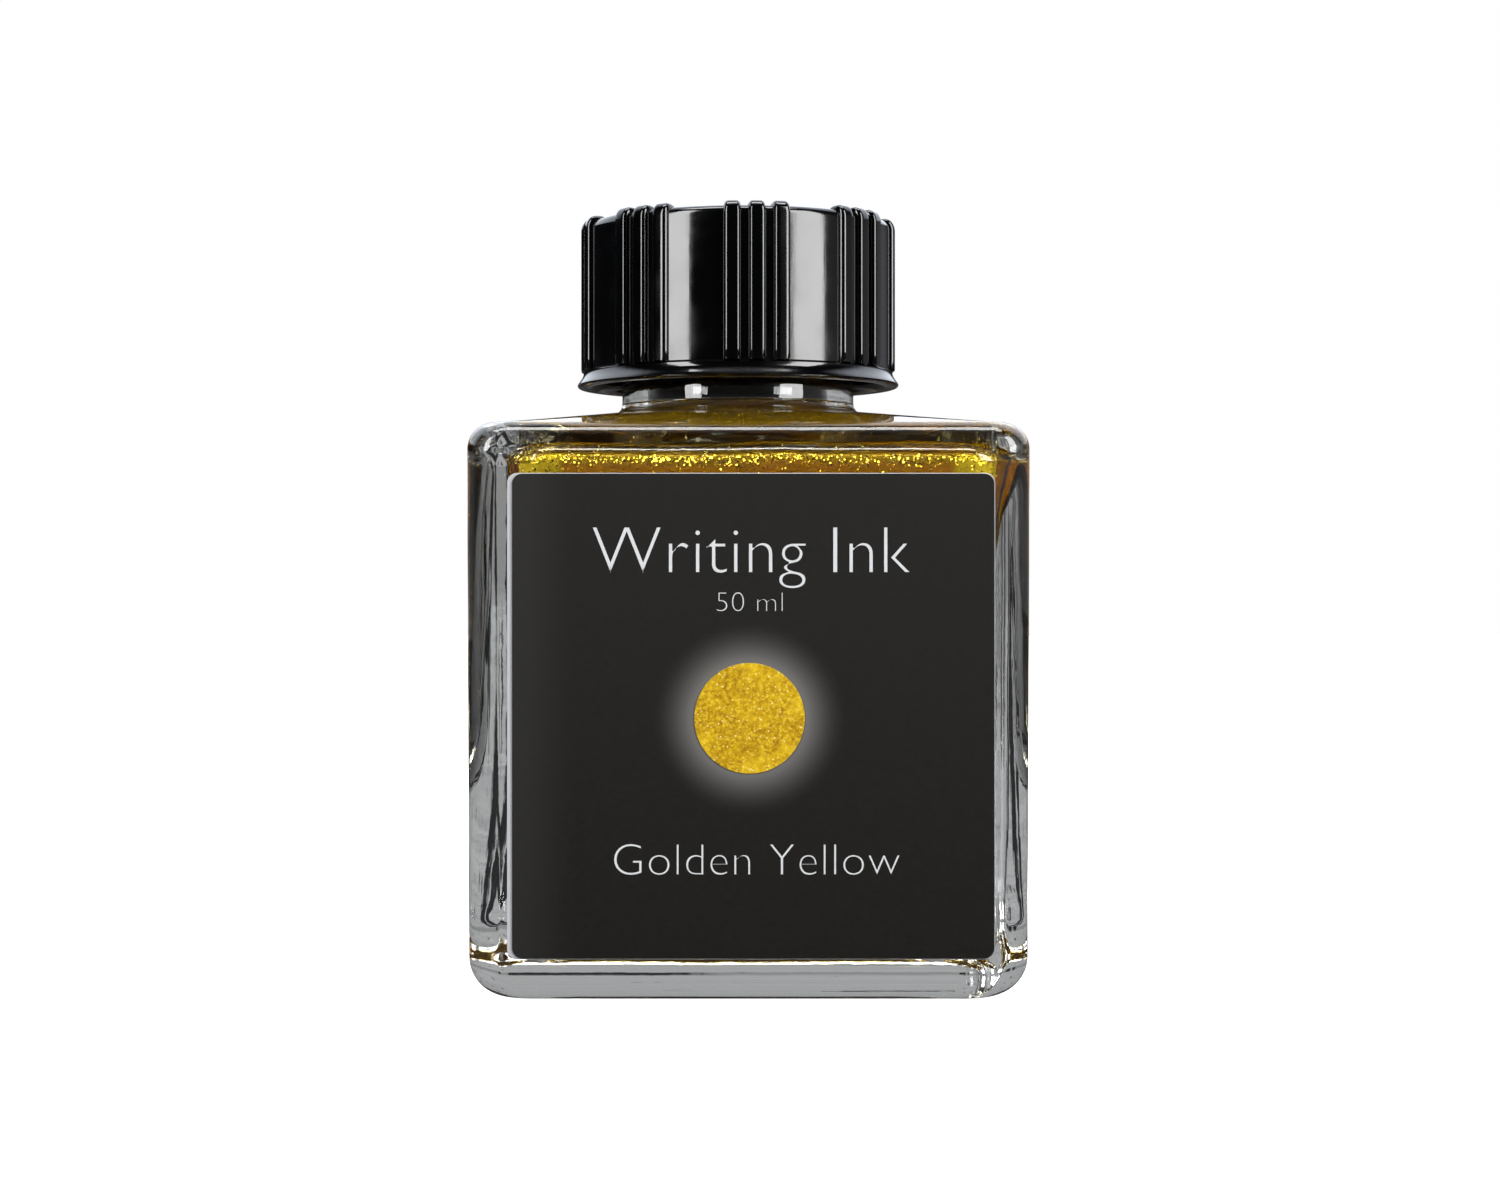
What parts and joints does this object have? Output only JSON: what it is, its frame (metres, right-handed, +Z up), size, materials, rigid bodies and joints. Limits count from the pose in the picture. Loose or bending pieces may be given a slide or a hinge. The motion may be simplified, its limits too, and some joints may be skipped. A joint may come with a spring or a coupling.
{
  "type": "ink bottle",
  "caption": "Square clear-glass ink bottle with thick walls, amber ink, a ribbed black screw cap with liner, and a black front label with a gold spot.",
  "frame": {"origin": "centre of the underside of the base, at the height the bottle stands on", "axes": "+Z up along the neck and cap axis, -Y towards the labelled front face, +X to the right of someone facing the label"},
  "size_m": [0.0508, 0.0511, 0.0733],
  "materials": {
    "clear_glass": "polished",
    "amber_ink": "clear liquid",
    "black_plastic": "gloss",
    "pulp_board": "matt",
    "white_film": "satin",
    "white_paper": "matt",
    "black_print": "matt",
    "gold_print": "glitter"
  },
  "bodies": {
    "bottle": {"glass_bottle": "clear_glass", "ink_fill": "amber_ink", "label_paper": "white_paper", "label_black_face": "black_print", "gold_colour_spot": "gold_print"},
    "liner": {"liner_board": "pulp_board", "liner_film": "white_film"},
    "cap": {"screw_cap": "black_plastic"}
  },
  "joints": [
    {"name": "cap_lift", "type": "slide", "parent": "bottle", "child": "liner", "axis": [0, 0, 1], "range_m": [0, 0.017]},
    {"name": "cap_turn", "type": "hinge", "parent": "liner", "child": "cap", "pos_m": [0, 0, 0.0645], "axis": [0, 0, 1], "range_deg": [0, 1440]}
  ],
  "couplings": [
    {"joint": "cap_lift", "follows": "cap_turn", "m_per_rad": 0.0006737}
  ]
}
